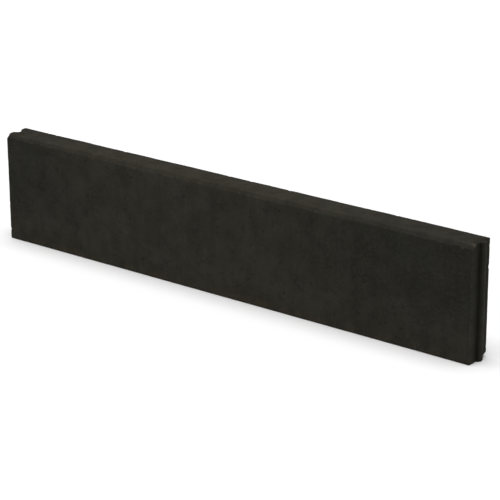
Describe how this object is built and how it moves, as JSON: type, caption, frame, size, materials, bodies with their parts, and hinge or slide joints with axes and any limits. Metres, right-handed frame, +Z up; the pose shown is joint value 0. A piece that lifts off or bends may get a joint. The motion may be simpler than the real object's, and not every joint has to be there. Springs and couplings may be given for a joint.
{
  "type": "concrete edging unit",
  "caption": "Charcoal precast concrete edging unit: a long upright slab with one chamfered top edge, a tongue on one end and a matching groove on the other.",
  "frame": {"origin": "centre of the bounding box in plan, on the ground under the unit; the box includes the tongue", "axes": "+X along the unit towards the tongue end, -Y out of the front face below the chamfered edge, +Z up"},
  "size_m": [1.006, 0.05, 0.2],
  "materials": {
    "charcoal_concrete": "matt, fine cast surface, dark charcoal with faint mottling and small pores"
  },
  "bodies": {
    "root": {"edging_unit": "charcoal_concrete"}
  },
  "joints": []
}
